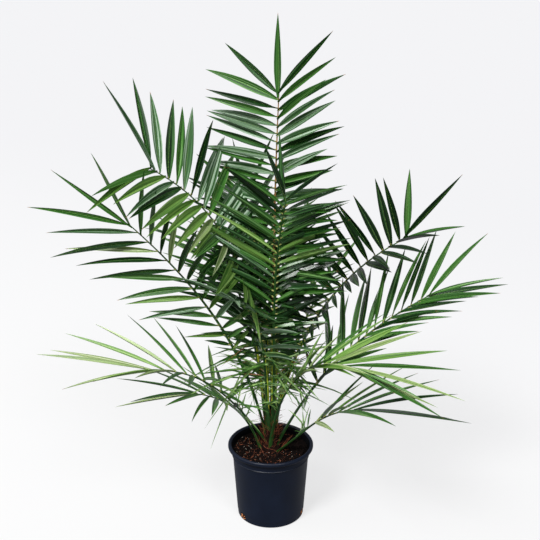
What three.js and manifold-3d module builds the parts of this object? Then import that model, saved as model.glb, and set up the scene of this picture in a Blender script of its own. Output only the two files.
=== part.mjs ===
// A young feather-leaved palm growing in a black nursery pot.
// Millimetres, +Z up. The origin is the centre of the pot's flat underside.
// The photograph was taken from the -Y side, looking along +Y and a little down.

import * as THREE from "three";
import { mergeVertices } from "three/addons/utils/BufferGeometryUtils.js";
import Module from "manifold-3d";

const wasm = await Module();
wasm.setup();

// Pot sizes
const POT_HEIGHT = 250;
const RIM_RADIUS = 135;
const MOUTH_RADIUS = 125;
const LIP_DROP = 13;
const COLLAR_RADIUS = 121.6;
const COLLAR_FOOT = 214;
const RIDGE_RADIUS = 123;
const RIDGE_HEIGHT = 3.4;
const BODY_TOP_RADIUS = 120;
const CREASE_HEIGHT = 18;
const BASE_RADIUS = 105;
const POT_WALL = 2.6;
const POT_FLOOR = 4;
const POT_SIDES = 44;

// Drainage notches low in the pot's wall: bearing in degrees from +X
const NOTCH_BEARINGS = [213, 340, 96];
const NOTCH_WIDTH = 25;
const NOTCH_BOTTOM = 3;
const NOTCH_TOP = 24;

// Soil sizes
const SOIL_EDGE = 228;
const SOIL_CROWN = 234;
const SOIL_CROWN_RADIUS = 46;

// Stem: height above its flat cut, radius there
const STEM_PROFILE = [
  [0, 36],
  [10, 32],
  [24, 28],
  [46, 24.5],
  [74, 21],
  [104, 17.5],
  [132, 13.5],
  [152, 8],
];
const STEM_SIDES = 20;

// Clear gap kept between touching pieces
const GAP = 0.3;

// Petiole and rib: half width and depth at the root, where the leaflets start and at the tip
const RIB_WIDTH = [9.5, 5, 1.7];
const RIB_DEPTH = [7, 4.5, 1.7];
const RIB_STEPS = 12;
const RIB_CORNERS = 4;

// Leaflets: thickness as a share of length, and share of length with share of width
const LEAFLET_THICKNESS = 0.0115;
const TRIANGLE_REACH = 2 / Math.sqrt(3);
const LEAFLET_STATIONS = [
  [0, 0],
  [0.06, 0.55],
  [0.38, 1],
  [1, 0],
];
const SPREAD_SCATTER = 5;
const LIFT_SCATTER = 7;
const LENGTH_SCATTER = 0.07;
const LENGTH_AT_START = 0.25;
const FULL_LENGTH_FROM = 0.28;
const LEAST_FULLNESS = 0.45;
const FULL_WIDTH_LENGTH = 420;

// Where leaflets stand: stagger within a pair as a share of the spacing, last pair, end leaflet
const PAIR_STAGGER = 0.15;
const LAST_PAIR_PLACE = 0.995;
const END_LEAFLET_PLACE = 0.985;
const END_LEAFLET_LENGTH = 0.96;

// Short leaflets are made of fewer faces
const SHORT_LEAFLET = 130;
const SHORT_STATIONS = [
  [0, 0],
  [0.2, 1],
  [1, 0],
];

// Fronds in the order they are grown.
// bearing: root and tip, degrees from +X. root: distance from the axis and height.
// tip: distance from the axis and height of the rib's end. lean: degrees from upright, root and tip.
// girth: petiole size against the largest. roll: turn of the blade about its rib.
// lift: rise of the leaflets out of the blade's plane, on its two sides.
// spread: leaflet angle to the rib, low and tip. sweep: how soon it closes toward the tip.
// splay: more angle on the two sides. leaf: leaflet length low down and at the tip.
// reach: share of that length on the two sides. width: half width of the broadest leaflets.
// droop: sag as a share of length. pairs: leaflet pairs. bare: share of the rib without leaflets.
// last: rise of the end leaflet.
const FRONDS = [
  { name: "frond_back_tall", bearing: [82, 79], root: [18, 330], tip: [126, 1347], lean: [8, 14],
    girth: 0.58, roll: 27, lift: [0, 9], spread: [80, 46], sweep: 0.25, splay: [12, -4], leaf: [300, 262],
    reach: [1.05, 1], width: 10, droop: 0.06, pairs: 34, bare: 0.24, last: 4 },
  { name: "frond_left_high", bearing: [164, 180], root: [18, 325], tip: [350, 1152], lean: [6, 62],
    girth: 0.58, roll: 22, lift: [13, 10], spread: [80, 56], sweep: 0.5, splay: [6, 8], leaf: [225, 340],
    reach: [0.91, 1.05], width: 11.5, droop: 0.1, pairs: 24, bare: 0.29, last: 40 },
  { name: "frond_front_upright", bearing: [300, 293], root: [15, 330], tip: [113, 1090], lean: [2, 24],
    girth: 0.58, roll: 0, lift: [-15, 18], spread: [62, 32], sweep: 0.14, splay: [5, -3], leaf: [300, 222],
    reach: [0.88, 1.03], width: 10, droop: 0.05, pairs: 25, bare: 0.26, last: 38 },
  { name: "frond_left_middle", bearing: [192, 176], root: [18, 300], tip: [421, 970], lean: [13, 47],
    girth: 0.75, roll: 96, lift: [18, 24], spread: [62, 31], sweep: 0.26, splay: [-8, 8], leaf: [190, 318],
    reach: [0.93, 0.95], width: 10, droop: 0.12, pairs: 15, bare: 0.28, last: 8 },
  { name: "frond_right_high", bearing: [4, 20], root: [16, 322], tip: [448, 884], lean: [10, 71],
    girth: 0.65, roll: -28, lift: [47, 48], spread: [92, 53], sweep: 0.35, splay: [10, 14],
    leaf: [222, 290], reach: [0.78, 0.92], width: 11, droop: 0.05, pairs: 19, bare: 0.27, last: 38 },
  { name: "frond_right_middle", bearing: [350, 359], root: [26, 262], tip: [478, 759], lean: [25, 59],
    girth: 0.9, roll: -34, lift: [18, 16], spread: [48, 28], sweep: 0.27, splay: [-2, -15],
    leaf: [260, 280], reach: [0.95, 0.89], width: 9.8, droop: 0.08, pairs: 15, bare: 0.29, last: -30 },
  { name: "frond_left_low", bearing: [200, 198], root: [20, 268], tip: [375, 560], lean: [33, 85],
    girth: 0.9, roll: 3, lift: [19, 12], spread: [104, 14], sweep: 0.8, splay: [5, 3], leaf: [202, 340],
    reach: [0.86, 1.02], width: 9, droop: 0.08, pairs: 9, bare: 0.34, last: 17 },
  { name: "frond_front_right", bearing: [280, 322], root: [20, 262], tip: [292, 600], lean: [5, 94],
    girth: 0.85, roll: -18, lift: [22, 12], spread: [48, 2], sweep: 0.6, splay: [1, -4], leaf: [248, 420],
    reach: [0.81, 0.7], width: 8.8, droop: 0.07, pairs: 13, bare: 0.36, last: 9 },
  { name: "frond_right_lowest", bearing: [330, 325], root: [33, 235], tip: [308, 462], lean: [45, 70],
    girth: 1.05, roll: -6, lift: [15, 16], spread: [42, 15], sweep: 0.5, splay: [1, 5], leaf: [264, 400],
    reach: [0.81, 1.09], width: 8.6, droop: 0.07, pairs: 6, bare: 0.44, last: -8 },
  { name: "frond_left_lowest", bearing: [175, 194], root: [33, 235], tip: [235, 453], lean: [18, 75],
    girth: 1.1, roll: -5, lift: [5, -2], spread: [68, 18], sweep: 0.25, splay: [2, 2], leaf: [228, 266],
    reach: [1, 1.04], width: 8.6, droop: 0.08, pairs: 7, bare: 0.46, last: -16 },
  { name: "frond_back_left", bearing: [123, 116], root: [18, 328], tip: [170, 1010], lean: [1, 34],
    girth: 0.58, roll: 20, lift: [16, 16], spread: [66, 36], sweep: 0.3, splay: [0, 0], leaf: [250, 225],
    reach: [1, 1], width: 9.5, droop: 0.05, pairs: 15, bare: 0.3, last: 0 },
  { name: "frond_back_right", bearing: [42, 60], root: [18, 326], tip: [150, 880], lean: [1, 38],
    girth: 0.58, roll: -10, lift: [14, 14], spread: [68, 38], sweep: 0.3, splay: [0, 0], leaf: [235, 205],
    reach: [1, 1], width: 9.5, droop: 0.05, pairs: 14, bare: 0.3, last: 0 },
  { name: "frond_front_left", bearing: [240, 236], root: [17, 320], tip: [185, 800], lean: [4, 60],
    girth: 0.62, roll: 10, lift: [4, 4], spread: [62, 34], sweep: 0.4, splay: [0, 0], leaf: [240, 215],
    reach: [1, 1], width: 9.5, droop: 0.12, pairs: 12, bare: 0.32, last: 0 },
  { name: "frond_back_low_left", bearing: [112, 118], root: [20, 288], tip: [390, 780], lean: [16, 72],
    girth: 0.8, roll: 0, lift: [16, 16], spread: [66, 34], sweep: 0.4, splay: [0, 0], leaf: [270, 260],
    reach: [1, 1], width: 9.5, droop: 0.08, pairs: 14, bare: 0.3, last: 0 },
  { name: "frond_back_low_right", bearing: [68, 60], root: [24, 270], tip: [400, 680], lean: [22, 72],
    girth: 0.9, roll: 0, lift: [16, 16], spread: [64, 32], sweep: 0.4, splay: [0, 0], leaf: [270, 260],
    reach: [1, 1], width: 9.5, droop: 0.08, pairs: 13, bare: 0.32, last: 0 },
];

const radians = THREE.MathUtils.degToRad;

// A repeatable number from -1 to 1 for each pair of counts
function scatter(first, second) {
  const wave = Math.sin(first * 12.9898 + second * 78.233) * 43758.5453;
  return 2 * (wave - Math.floor(wave)) - 1;
}

// The closed solid of a geometry whose faces point out
function solidOf(geometry) {
  const bare = geometry.clone();
  for (const attribute of Object.keys(bare.attributes)) {
    if (attribute !== "position") bare.deleteAttribute(attribute);
  }
  const merged = mergeVertices(bare, 1e-4);
  const corners = merged.index.array;
  const kept = [];
  for (let i = 0; i < corners.length; i += 3) {
    const [a, b, c] = [corners[i], corners[i + 1], corners[i + 2]];
    if (a !== b && b !== c && c !== a) kept.push(a, b, c);
  }
  return new wasm.Manifold(new wasm.Mesh({
    numProp: 3,
    vertProperties: new Float32Array(merged.attributes.position.array),
    triVerts: new Uint32Array(kept),
  }));
}

// A geometry from a joined or cut solid
function geometryOf(solid) {
  const mesh = solid.getMesh();
  const geometry = new THREE.BufferGeometry();
  geometry.setAttribute("position", new THREE.BufferAttribute(mesh.vertProperties, 3));
  geometry.setIndex(new THREE.BufferAttribute(mesh.triVerts, 1));
  geometry.computeVertexNormals();
  return geometry;
}

// A turned solid about +Z from a profile of [radius, height], read from the outside bottom up
function turned(profile, sides) {
  const points = profile.map(([radius, height]) => new THREE.Vector2(radius, height));
  const geometry = new THREE.LatheGeometry(points, sides);
  geometry.rotateX(Math.PI / 2);
  return geometry;
}

// A closed tube of given corners, each ring set by its centre, two axes and two half sizes
function ringTube(corners, steps, ringAt, twist = 0) {
  const geometry = new THREE.CylinderGeometry(1, 1, 1, corners, steps);
  geometry.rotateY(twist);
  const position = geometry.attributes.position;
  const point = new THREE.Vector3();
  for (let i = 0; i < position.count; i += 1) {
    point.fromBufferAttribute(position, i);
    const step = Math.round((point.y + 0.5) * steps);
    const onAxis = Math.hypot(point.x, point.z) < 0.5;
    const turn = Math.atan2(point.z, point.x);
    const ring = ringAt(step);
    const across = onAxis ? 0 : Math.cos(turn) * ring.width;
    const outward = onAxis ? 0 : Math.sin(turn) * ring.depth;
    point.copy(ring.centre)
      .addScaledVector(ring.across, across)
      .addScaledVector(ring.out, outward);
    position.setXYZ(i, point.x, point.y, point.z);
  }
  return geometry;
}

// The rib of a frond, as a curve with a frame at every share of its length
function ribOf(frond) {
  const [rootTurn, tipTurn] = frond.bearing.map(radians);
  const [rootLean, tipLean] = frond.lean.map(radians);
  const place = (turn, [distance, height]) => new THREE.Vector3(
    distance * Math.cos(turn), distance * Math.sin(turn), height);
  const heading = (turn, lean) => new THREE.Vector3(
    Math.sin(lean) * Math.cos(turn), Math.sin(lean) * Math.sin(turn), Math.cos(lean));
  const root = place(rootTurn, frond.root);
  const tip = place(tipTurn, frond.tip);
  const pull = root.distanceTo(tip) * 0.38;
  const curve = new THREE.CubicBezierCurve3(
    root,
    root.clone().addScaledVector(heading(rootTurn, rootLean), pull),
    tip.clone().addScaledVector(heading(tipTurn, tipLean), -pull),
    tip,
  );
  const level = new THREE.Vector3(-Math.sin(tipTurn), Math.cos(tipTurn), 0);
  return { curve, level };
}

// Centre, direction, side axis and upper-face axis of the rib at a share of its length
function frameAt(rib, frond, share) {
  const centre = rib.curve.getPoint(share);
  const along = rib.curve.getTangent(share);
  const face = new THREE.Vector3().crossVectors(along, rib.level).normalize();
  const side = new THREE.Vector3().crossVectors(face, along).normalize();
  const roll = radians(frond.roll) * THREE.MathUtils.smoothstep(share, 0, frond.bare + 0.15);
  const turnedFace = face.clone().multiplyScalar(Math.cos(roll)).addScaledVector(side, Math.sin(roll));
  const turnedSide = side.clone().multiplyScalar(Math.cos(roll)).addScaledVector(face, -Math.sin(roll));
  return { centre, along, face: turnedFace, side: turnedSide };
}

// Half width or depth of the rib at a share of its length
function ribSize(sizes, frond, share) {
  const [largest, atLeaflets, atTip] = sizes;
  if (share < frond.bare) {
    return THREE.MathUtils.lerp(frond.girth * largest, atLeaflets, Math.sqrt(share / frond.bare));
  }
  return THREE.MathUtils.lerp(atLeaflets, atTip, (share - frond.bare) / (1 - frond.bare));
}

function ribSolid(frond, rib) {
  const frames = [];
  for (let step = 0; step <= RIB_STEPS; step += 1) {
    const share = step / RIB_STEPS;
    const frame = frameAt(rib, frond, share);
    frames.push({
      centre: frame.centre,
      across: frame.side,
      out: frame.face.clone().negate(),
      width: ribSize(RIB_WIDTH, frond, share),
      depth: ribSize(RIB_DEPTH, frond, share),
    });
  }
  return solidOf(ringTube(RIB_CORNERS, RIB_STEPS, (step) => frames[step]));
}

// Every leaflet of a frond: where it starts, which way it points, its length and its width axis
function leafletsOf(frond, rib, order) {
  const leaflets = [];
  const down = new THREE.Vector3(0, 0, -1);
  for (let pair = 0; pair < frond.pairs; pair += 1) {
    const share = (pair + 1) / frond.pairs;
    for (const [part, hand] of [1, -1].entries()) {
      const seed = order * 97 + pair * 2 + part;
      const offset = PAIR_STAGGER * hand / frond.pairs;
      const alongBlade = THREE.MathUtils.clamp(share + offset, 0, LAST_PAIR_PLACE);
      const place = THREE.MathUtils.lerp(frond.bare, 1, alongBlade);
      const frame = frameAt(rib, frond, place);
      const [lowSpread, tipSpread] = frond.spread;
      const spread = tipSpread + (lowSpread - tipSpread) * (1 - share) ** frond.sweep
        + frond.splay[part] + SPREAD_SCATTER * scatter(seed, 1);
      const lift = frond.lift[part] + LIFT_SCATTER * scatter(seed, 2);
      const start = Math.min(1, LENGTH_AT_START + share / FULL_LENGTH_FROM);
      const full = THREE.MathUtils.lerp(frond.leaf[0], frond.leaf[1], share) * frond.reach[part];
      const length = full * start * (1 + LENGTH_SCATTER * scatter(seed, 3));
      const sideways = frame.side.clone().multiplyScalar(hand * Math.cos(radians(lift)))
        .addScaledVector(frame.face, Math.sin(radians(lift)));
      const aim = frame.along.clone().multiplyScalar(Math.cos(radians(spread)))
        .addScaledVector(sideways, Math.sin(radians(spread)));
      const across = frame.along.clone().addScaledVector(aim, -aim.dot(frame.along))
        .multiplyScalar(-hand).normalize();
      const sag = frond.droop * length;
      leaflets.push({ base: frame.centre, aim, across, length, sag, down, width: frond.width });
    }
  }
  const end = frameAt(rib, frond, END_LEAFLET_PLACE);
  const endLength = frond.leaf[1] * END_LEAFLET_LENGTH;
  leaflets.push({
    base: end.centre,
    aim: end.along.clone().applyAxisAngle(end.side, -radians(frond.last)),
    across: end.side,
    length: endLength,
    sag: 0.5 * frond.droop * endLength,
    down,
    width: frond.width,
  });
  return leaflets;
}

// A leaflet as a thin three-sided blade, or with a margin as the room it takes up
function leafletSolid(leaflet, margin = 0) {
  const { base, aim, across, length, sag, down, width } = leaflet;
  const normal = new THREE.Vector3().crossVectors(across, aim).normalize();
  const stations = length < SHORT_LEAFLET ? SHORT_STATIONS : LEAFLET_STATIONS;
  const halfWidth = width * Math.min(1, LEAST_FULLNESS + length / FULL_WIDTH_LENGTH);
  const depth = Math.max(2.2, length * LEAFLET_THICKNESS) / 1.5;
  const rings = stations.map(([share, fullness]) => ({
    centre: base.clone()
      .addScaledVector(aim, share * length + (share === 1 ? margin : 0))
      .addScaledVector(down, sag * share * share),
    across,
    out: normal,
    width: (halfWidth * fullness + margin) * (margin > 0 ? Math.SQRT2 : TRIANGLE_REACH),
    depth: (depth * Math.min(1, fullness * 2.4) + margin) * (margin > 0 ? Math.SQRT2 : 1),
  }));
  const ringAt = (step) => rings[step];
  if (margin > 0) return solidOf(ringTube(4, rings.length - 1, ringAt, Math.PI / 4));
  return solidOf(ringTube(3, rings.length - 1, ringAt));
}

// True when two boxes share space
function boxesMeet(one, other) {
  return [0, 1, 2].every((k) => one.min[k] <= other.max[k] && other.min[k] <= one.max[k]);
}

// The leaflet as it is grown, turned a little or shortened where it would touch another piece
const SECOND_TRIES = [
  { turn: 0, scale: 1 },
  { turn: 6, scale: 1 },
  { turn: -6, scale: 1 },
  { turn: 12, scale: 1 },
  { turn: -12, scale: 1 },
  { turn: 0, scale: 0.72 },
  { turn: 8, scale: 0.72 },
  { turn: -8, scale: 0.72 },
  { turn: 0, scale: 0.45 },
];

function placeLeaflet(leaflet, occupied) {
  for (const { turn, scale } of SECOND_TRIES) {
    const axis = leaflet.across;
    const tried = {
      ...leaflet,
      aim: leaflet.aim.clone().applyAxisAngle(axis, radians(turn)),
      length: leaflet.length * scale,
      sag: leaflet.sag * scale,
    };
    const room = leafletSolid(tried, GAP + 0.1);
    const box = room.boundingBox();
    const free = occupied.every((piece) => !boxesMeet(box, piece.box)
      || room.intersect(piece.solid).isEmpty());
    if (free) {
      const solid = leafletSolid(tried);
      return { solid, box: solid.boundingBox() };
    }
  }
  return null;
}

// The largest body of a solid, so that no cut-off scrap is kept
function largestBody(solid) {
  const bodies = solid.decompose();
  return bodies.reduce((best, body) => (body.volume() > best.volume() ? body : best));
}

function material(color, roughness) {
  return new THREE.MeshStandardMaterial({ color, roughness, metalness: 0 });
}

// Pot: floor, tapered wall, crease, collar and rolled lip, as one turned shell
const innerBodyTop = BODY_TOP_RADIUS - POT_WALL;
const innerBase = BASE_RADIUS - POT_WALL;
const potProfile = [
  [0, 0],
  [BASE_RADIUS - 2.5, 0],
  [BASE_RADIUS, 2.5],
  [BASE_RADIUS + 0.6, CREASE_HEIGHT - 1],
  [BASE_RADIUS + 1.8, CREASE_HEIGHT],
  [BODY_TOP_RADIUS, COLLAR_FOOT - RIDGE_HEIGHT],
  [RIDGE_RADIUS, COLLAR_FOOT - RIDGE_HEIGHT / 2],
  [COLLAR_RADIUS - 0.4, COLLAR_FOOT],
  [COLLAR_RADIUS, POT_HEIGHT - LIP_DROP],
  [RIM_RADIUS - 3, POT_HEIGHT - LIP_DROP],
  [RIM_RADIUS, POT_HEIGHT - LIP_DROP + 3],
  [RIM_RADIUS, POT_HEIGHT - 3.5],
  [RIM_RADIUS - 3, POT_HEIGHT],
  [MOUTH_RADIUS + 2.5, POT_HEIGHT],
  [MOUTH_RADIUS, POT_HEIGHT - 2.5],
  [COLLAR_RADIUS - POT_WALL, POT_HEIGHT - LIP_DROP],
  [COLLAR_RADIUS - POT_WALL - 0.4, COLLAR_FOOT],
  [innerBodyTop, COLLAR_FOOT - 3],
  [innerBase, POT_FLOOR + 1],
  [innerBase - 1, POT_FLOOR],
  [0, POT_FLOOR],
];
let potSolid = solidOf(turned(potProfile, POT_SIDES));
for (const bearing of NOTCH_BEARINGS) {
  const notch = new THREE.BoxGeometry(POT_WALL * 4, NOTCH_WIDTH, NOTCH_TOP - NOTCH_BOTTOM);
  notch.translate(BASE_RADIUS, 0, (NOTCH_TOP + NOTCH_BOTTOM) / 2);
  notch.rotateZ(radians(bearing));
  potSolid = potSolid.subtract(solidOf(notch));
}

// Soil: fills the pot to a low mound round the stem
const soilGap = GAP + 0.1;
const soilTopRadius = COLLAR_RADIUS - POT_WALL - 0.4 - soilGap;
const soilProfile = [
  [0, POT_FLOOR + GAP],
  [innerBase - 1 - soilGap, POT_FLOOR + GAP],
  [innerBase - soilGap, POT_FLOOR + 1 + GAP],
  [innerBodyTop - soilGap, COLLAR_FOOT - 3],
  [soilTopRadius, COLLAR_FOOT + 0.5],
  [soilTopRadius, SOIL_EDGE],
  [SOIL_CROWN_RADIUS * 2, (SOIL_EDGE + SOIL_CROWN) / 2],
  [SOIL_CROWN_RADIUS, SOIL_CROWN],
  [0, SOIL_CROWN],
];
const soilSolid = solidOf(turned(soilProfile, POT_SIDES));

// Stem: short, flared at the soil and tapering to the growing tip inside the frond bases
const stemFoot = SOIL_CROWN + GAP;
const stemOutline = (extra) => [
  [0, stemFoot - extra],
  ...STEM_PROFILE.map(([height, radius]) => [radius + extra, stemFoot + height]),
  [0, stemFoot + STEM_PROFILE.at(-1)[0] + 6 + extra],
];
const stemSolid = solidOf(turned(stemOutline(0), STEM_SIDES));
const stemRoom = solidOf(turned(stemOutline(GAP + 0.1), STEM_SIDES));

// Room kept above the soil
const soilRoomProfile = [
  [0, SOIL_EDGE - 40],
  [soilTopRadius, SOIL_EDGE - 40],
  [soilTopRadius, SOIL_EDGE + GAP],
  [SOIL_CROWN_RADIUS * 2, (SOIL_EDGE + SOIL_CROWN) / 2 + GAP],
  [SOIL_CROWN_RADIUS, SOIL_CROWN + GAP + 0.1],
  [0, SOIL_CROWN + GAP + 0.1],
];
const soilRoom = solidOf(turned(soilRoomProfile, POT_SIDES));
const rootRoom = stemRoom.add(soilRoom);

// Fronds: every rib first, then leaflets that keep clear of the other fronds
const asPiece = (solid) => ({ solid, box: solid.boundingBox() });
const fixedPieces = [potSolid, soilSolid, stemSolid].map(asPiece);
const ribs = FRONDS.map((frond) => ribOf(frond));
const ribPieces = FRONDS.map((frond, order) => asPiece(ribSolid(frond, ribs[order])));
const grownLeaflets = [];
const frondSolids = FRONDS.map((frond, order) => {
  const otherRibs = ribPieces.filter((piece, other) => other !== order);
  const occupied = [...fixedPieces, ...otherRibs, ...grownLeaflets];
  const placed = leafletsOf(frond, ribs[order], order)
    .map((leaflet) => placeLeaflet(leaflet, occupied))
    .filter((piece) => piece !== null);
  grownLeaflets.push(...placed);
  const whole = wasm.Manifold.union([ribPieces[order].solid, ...placed.map((piece) => piece.solid)]);
  return largestBody(whole.subtract(rootRoom));
});

const palm = new THREE.Group();

function addPiece(name, solid, look) {
  const mesh = new THREE.Mesh(geometryOf(solid), look);
  mesh.name = name;
  palm.add(mesh);
}

addPiece("pot", potSolid, material(0x19202d, 0.45));
addPiece("soil", soilSolid, material(0x35231b, 0.95));
addPiece("stem", stemSolid, material(0x5c4630, 0.9));
FRONDS.forEach((frond, order) => {
  addPiece(frond.name, frondSolids[order], material(0x2f5a2c, 0.42));
});

export default palm;
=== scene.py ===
import math

import bmesh
import bpy
import numpy as np
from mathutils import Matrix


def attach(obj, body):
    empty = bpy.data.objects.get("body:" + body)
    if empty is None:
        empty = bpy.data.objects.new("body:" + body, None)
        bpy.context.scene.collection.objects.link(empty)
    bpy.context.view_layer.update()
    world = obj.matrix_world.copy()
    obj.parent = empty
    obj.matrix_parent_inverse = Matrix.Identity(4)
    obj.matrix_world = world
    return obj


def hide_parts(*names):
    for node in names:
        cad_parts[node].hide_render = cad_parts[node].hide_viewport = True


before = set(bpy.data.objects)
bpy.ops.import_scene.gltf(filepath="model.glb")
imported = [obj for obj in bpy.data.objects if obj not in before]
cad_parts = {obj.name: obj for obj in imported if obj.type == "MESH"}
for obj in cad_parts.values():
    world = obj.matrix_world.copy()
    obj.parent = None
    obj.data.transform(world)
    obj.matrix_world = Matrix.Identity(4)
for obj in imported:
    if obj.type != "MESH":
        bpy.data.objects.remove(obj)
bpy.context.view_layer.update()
print("frame loaded:", len(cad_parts), "solids")

mm = 0.001
scene = bpy.context.scene
upward = np.array([0.0, 0.0, 1.0])


# Colour as the shader wants it, from the everyday 0 to 255 scale
def tone(red, green, blue):
    value = np.array([red, green, blue]) / 255
    linear = np.where(value <= 0.04045, value / 12.92, ((value + 0.055) / 1.055) ** 2.4)
    return (*linear.tolist(), 1.0)


# Camera and light

cameraSettings = {
    "place": (-0.002, -3.127, 2.056),
    "pitch": 68.7,  # degrees up from straight down
    "lens": 75,
    "sensor": 36,
}

lightSettings = {
    "sky": (0.95, 0.96, 1.0, 1.0),
    "skyStrength": 0.32,
    "lamps": [  # bearing it comes from, height in degrees, softness in degrees, strength
        {"name": "keyLight", "bearing": 236, "rise": 50, "spread": 18, "strength": 3.0},
        {"name": "frontLight", "bearing": 296, "rise": 48, "spread": 18, "strength": 1.2},
        {"name": "fillLight", "bearing": 176, "rise": 40, "spread": 40, "strength": 0.8},
    ],
}

floorSettings = {
    "half": 40.0,
    "level": -0.0004,
    "near": tone(124, 124, 124),
    "far": tone(119, 119, 120),
    "glow": 3.4,
    "turn": 32.0,  # the far end lies a little to the right
    "fade": (1.0, -3.5),  # where the near tone ends and the far one is full
    "roughness": 0.95,
    "specular": 0.05,
}


# Looks along +Y, pitched up from straight down
def makeCamera(settings):
    data = bpy.data.cameras.new("studioCamera")
    data.lens = settings["lens"]
    data.sensor_width = settings["sensor"]
    camera = bpy.data.objects.new("studioCamera", data)
    camera.location = settings["place"]
    camera.rotation_euler = (math.radians(settings["pitch"]), 0, 0)
    scene.collection.objects.link(camera)
    scene.camera = camera


# A pale sky and three suns. A sun shines straight down at rest, so it is tipped by 90 - rise
# and turned by bearing + 90 degrees.
def makeLights(settings):
    world = bpy.data.worlds.new("studioRoom")
    scene.world = world
    world.use_nodes = True
    sky = world.node_tree.nodes["Background"]
    sky.inputs["Color"].default_value = settings["sky"]
    sky.inputs["Strength"].default_value = settings["skyStrength"]
    for lamp in settings["lamps"]:
        data = bpy.data.lights.new(lamp["name"], "SUN")
        data.angle = math.radians(lamp["spread"])
        data.energy = lamp["strength"]
        light = bpy.data.objects.new(lamp["name"], data)
        light.rotation_euler = (math.radians(90 - lamp["rise"]), 0, math.radians(lamp["bearing"] + 90))
        scene.collection.objects.link(light)


makeCamera(cameraSettings)
makeLights(lightSettings)
scene.view_settings.view_transform = "Standard"
print("camera and lights set")


# Materials

# Values put into a node's sockets by name
def setSockets(node, values):
    for socket, value in values.items():
        node.inputs[socket].default_value = value


# A new material with its shader set
def startMaterial(name, values):
    material = bpy.data.materials.new(name)
    material.use_nodes = True
    shader = material.node_tree.nodes["Principled BSDF"]
    setSockets(shader, values)
    return material, shader


# A node with the given values, fed by an output where one is named
def addNode(material, kind, values, socket=None, source=None):
    node = material.node_tree.nodes.new("ShaderNode" + kind)
    setSockets(node, values)
    if socket:
        material.node_tree.links.new(source, node.inputs[socket])
    return node


# Two colours mixed by a factor, each an output or a plain colour
def mixColours(material, factor, first, second):
    mix = material.node_tree.nodes.new("ShaderNodeMix")
    mix.data_type = "RGBA"
    material.node_tree.links.new(factor, mix.inputs["Factor"])
    for socket, colour in (("A", first), ("B", second)):
        if isinstance(colour, tuple):
            mix.inputs[socket].default_value = colour
        else:
            material.node_tree.links.new(colour, mix.inputs[socket])
    return mix.outputs["Result"]


patternSettings = {
    "shades": (0.32, 0.68),  # noise at which the dark and the light shade are full
    "paintedSheenShades": (-0.26, -0.08, 0.05),  # the same for all three shades, from where the painted sheen starts
    "gloss": (0.3, 0.7),  # noise at which the roughness is least and most
    "detail": 4,
    "bumpDetail": 3,
    "spotEdge": 0.6,  # size of a fleck's full colour against its rim
}


# Two shades mixed by noise, roughness by the same noise, and a fine bump
def makeMaterial(name, shades, grain=120.0, rough=(0.4, 0.5), bump=0.2, depth=0.0004,
                 bumpGrain=None, stretch=(1, 1, 1), byUv=False, specular=0.3, paintedSheen=None, spots=None):
    pattern = patternSettings
    material, shader = startMaterial(name, {"Specular IOR Level": specular})
    links = material.node_tree.links
    coordinate = addNode(material, "TexCoord", {})
    place = addNode(material, "Mapping", {"Scale": stretch}, "Vector",
                    coordinate.outputs["UV" if byUv else "Object"]).outputs["Vector"]
    noise = addNode(material, "TexNoise", {"Scale": grain, "Detail": pattern["detail"]}, "Vector", place)
    shade = addNode(material, "ValToRGB", {}, "Fac", noise.outputs["Fac"])
    stops = shade.color_ramp.elements
    stops[0].position, stops[1].position = pattern["shades"]
    stops[0].color, stops[1].color = (tone(*colour) for colour in shades)
    if paintedSheen:  # painted sheen: streaks of a third, paler shade that stand in for glossy highlights along the blade
        low, high, full = (paintedSheen[0] + shift for shift in pattern["paintedSheenShades"])
        stops[0].position, stops[1].position = low, high
        stops.new(full).color = tone(*paintedSheen[1])
    colour = shade.outputs["Color"]
    if spots:  # small flecks of a second colour
        cells = addNode(material, "TexVoronoi", {"Scale": spots["grain"]}, "Vector", place)
        rim = {"From Min": spots["size"], "From Max": spots["size"] * pattern["spotEdge"]}
        edge = addNode(material, "MapRange", rim, "Value", cells.outputs["Distance"])
        colour = mixColours(material, edge.outputs["Result"], colour, tone(*spots["colour"]))
    links.new(colour, shader.inputs["Base Color"])
    low, high = pattern["gloss"]
    span = {"From Min": low, "From Max": high, "To Min": rough[0], "To Max": rough[1]}
    gloss = addNode(material, "MapRange", span, "Value", noise.outputs["Fac"])
    links.new(gloss.outputs["Result"], shader.inputs["Roughness"])
    fine = {"Scale": bumpGrain or grain * 4, "Detail": pattern["bumpDetail"]}
    fine = addNode(material, "TexNoise", fine, "Vector", place)
    relief = addNode(material, "Bump", {"Strength": bump, "Distance": depth}, "Height", fine.outputs["Fac"])
    links.new(relief.outputs["Normal"], shader.inputs["Normal"])
    return material


# Blade patterns run along the leaflet, on its own map
bladeLook = dict(grain=1.0, bump=0.3, depth=0.0003, bumpGrain=12.0, stretch=(6, 0.6, 1), byUv=True)

leafTones = {  # shades: dark and light. The last entry, pale streaks of painted sheen: noise about which it sets in, and its colour
    "leafletsDeep": dict(shades=((4, 22, 5), (21, 54, 17)), rough=(0.2, 0.32), specular=0.28,
        paintedSheen=(0.66, (66, 100, 60))),
    "leafletsDark": dict(shades=((6, 28, 7), (32, 74, 25)), rough=(0.2, 0.32), specular=0.36,
        paintedSheen=(0.63, (84, 122, 74))),
    "leafletsGreen": dict(shades=((18, 56, 14), (64, 116, 42)), rough=(0.24, 0.36), specular=0.4,
        paintedSheen=(0.63, (122, 156, 100))),
    "leafletsBright": dict(shades=((56, 98, 36), (104, 144, 62)), rough=(0.3, 0.42),
        paintedSheen=(0.62, (156, 188, 112))),
    "leafletsPale": dict(shades=((82, 110, 54), (146, 170, 106)), rough=(0.34, 0.46),
        paintedSheen=(0.6, (198, 208, 170))),
    "leafletsBlue": dict(shades=((18, 52, 22), (64, 104, 58)), rough=(0.24, 0.34), specular=0.6,
        paintedSheen=(0.58, (166, 188, 164))),
}
leafMaterials = {
    name: makeMaterial(name[0].upper() + name[1:], **bladeLook, **look)
    for name, look in leafTones.items()
}
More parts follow.
